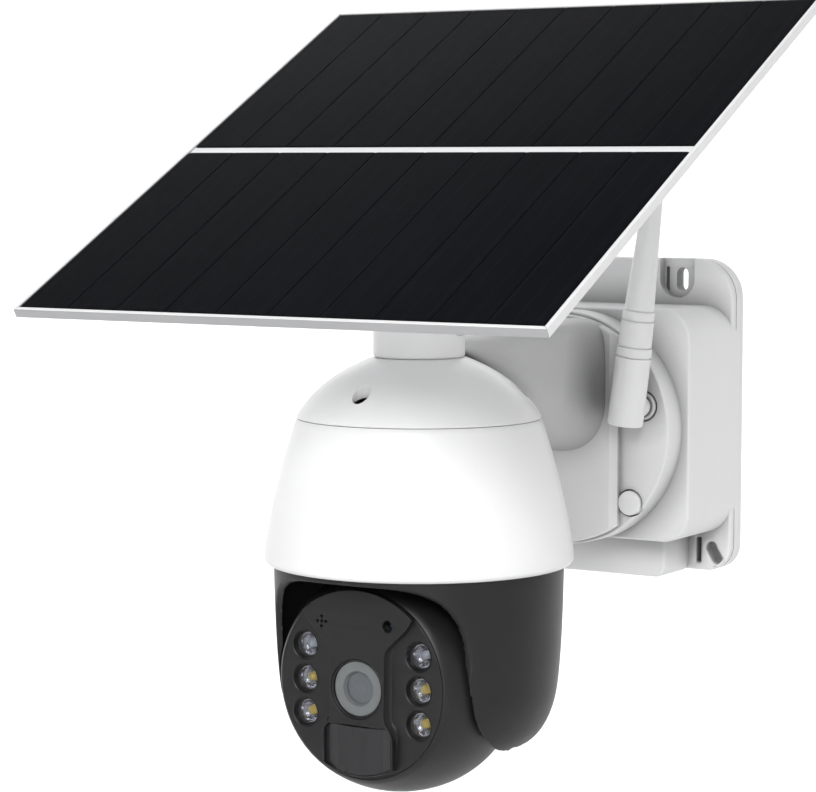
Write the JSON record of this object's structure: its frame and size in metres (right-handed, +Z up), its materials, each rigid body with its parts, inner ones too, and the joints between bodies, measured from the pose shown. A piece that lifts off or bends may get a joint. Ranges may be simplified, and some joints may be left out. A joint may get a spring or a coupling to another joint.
{
  "type": "security camera",
  "caption": "Solar-powered outdoor pan and tilt security camera: egg-shaped dome on a wall arm and battery box, with a tilting solar panel above.",
  "frame": {"origin": "centre of the wall box's back face, on the wall", "axes": "+Z up, the wall is the plane Y=0 with +Y into the wall, the camera faces -Y, +X to the right seen from the front"},
  "size_m": [0.24, 0.2967, 0.3214],
  "materials": {
    "white_gloss": "glossy white moulded plastic",
    "white_satin": "satin white moulded plastic",
    "black_satin": "satin black moulded plastic",
    "black_gloss": "glossy black face panel",
    "grey_plastic": "grey moulded plastic",
    "seal_rubber": "matt rubber",
    "steel": "zinc-plated steel",
    "reflector": "metallised reflector",
    "lens": "coated lens glass",
    "led_clear": "clear LED dome",
    "led_phosphor": "yellow phosphor under a clear dome",
    "circuit": "solder-masked circuit board",
    "gear_nylon": "natural acetal",
    "cell_wrap": "shrink-wrapped cell",
    "solar_cell": "laminated black solar cell",
    "panel_sheet": "white backing sheet",
    "panel_rail": "satin grey frame"
  },
  "bodies": {
    "wall_mount": {"box_housing": "white_satin", "back_cover": "grey_plastic", "back_seal": "seal_rubber", "cover_screws": "steel", "battery_cells": "cell_wrap", "battery_tray": "black_satin", "charge_board": "circuit", "port_block": "white_satin", "charge_port": "steel", "port_plug": "seal_rubber", "mount_ring": "white_satin", "arm": "white_satin", "flange_screws": "steel", "screw_caps": "white_gloss", "antenna_socket": "white_satin", "wire_harness": "seal_rubber", "neck_column": "white_gloss", "neck_screw": "steel", "top_cap": "white_gloss", "cap_screws": "steel", "seam_seal": "seal_rubber", "shell": "white_gloss", "chassis_plate": "grey_plastic", "pan_bearing": "steel", "pan_motor": "steel", "main_board": "circuit"},
    "power_button": {"power_button": "seal_rubber"},
    "antenna": {"antenna": "white_gloss"},
    "pan_pinion": {"pan_pinion": "gear_nylon"},
    "pan_unit": {"pan_yoke": "black_satin", "arm_covers": "black_satin", "pan_gear": "gear_nylon", "hub_nut": "steel", "speaker": "black_satin", "tilt_shafts": "steel", "tilt_gear": "gear_nylon"},
    "camera_head": {"head_front": "black_satin", "head_back": "black_satin", "head_seal": "seal_rubber", "face_plate": "black_gloss", "lens_ring": "black_gloss", "lens_glass": "lens", "lens_barrel": "black_satin", "sensor_board": "circuit", "led_reflectors": "reflector", "ir_leds": "led_clear", "white_leds": "led_phosphor", "microphone": "steel", "light_sensor": "lens", "pir_window": "black_gloss", "pir_sensor": "steel", "tilt_motor": "steel"},
    "tilt_pinion": {"tilt_pinion": "gear_nylon"},
    "panel_swivel": {"swivel_bracket": "grey_plastic", "hinge_bolt": "steel"},
    "solar_panel": {"panel_mount": "grey_plastic", "panel_frame": "panel_rail", "panel_back": "panel_sheet", "solar_cells": "solar_cell", "junction_box": "black_satin"}
  },
  "joints": [
    {"name": "camera_pan", "type": "hinge", "parent": "wall_mount", "child": "pan_unit", "pos_m": [0, -0.188, 0], "axis": [0, 0, 1], "range_deg": [-177.5, 177.5]},
    {"name": "pan_pinion_spin", "type": "hinge", "parent": "wall_mount", "child": "pan_pinion", "pos_m": [0, -0.146, 0], "axis": [0, 0, 1], "range_deg": [-1065, 1065]},
    {"name": "camera_tilt", "type": "hinge", "parent": "pan_unit", "child": "camera_head", "pos_m": [0, -0.196, -0.0915], "axis": [1, 0, 0], "range_deg": [-10, 90]},
    {"name": "tilt_pinion_spin", "type": "hinge", "parent": "camera_head", "child": "tilt_pinion", "pos_m": [0, -0.172, -0.0915], "axis": [1, 0, 0], "range_deg": [-30, 270]},
    {"name": "antenna_swing", "type": "hinge", "parent": "wall_mount", "child": "antenna", "pos_m": [0.0394, -0.0825, 0.0084], "axis": [0, 1, 0], "range_deg": [-17, 95]},
    {"name": "panel_swivel", "type": "hinge", "parent": "wall_mount", "child": "panel_swivel", "pos_m": [0, -0.188, 0.074], "axis": [0, 0, 1], "range_deg": [-40, 40]},
    {"name": "panel_tilt", "type": "hinge", "parent": "panel_swivel", "child": "solar_panel", "pos_m": [0, -0.188, 0.09], "axis": [1, 0, 0], "range_deg": [-13.5, 16.5]},
    {"name": "power_button_press", "type": "slide", "parent": "wall_mount", "child": "power_button", "axis": [0, 0, 1], "range_m": [0, 0.0008], "stiffness_N_per_m": 600, "springref_m": -0.0002}
  ],
  "couplings": [
    {"joint": "pan_pinion_spin", "follows": "camera_pan", "ratio": -6},
    {"joint": "tilt_pinion_spin", "follows": "camera_tilt", "ratio": 3}
  ]
}
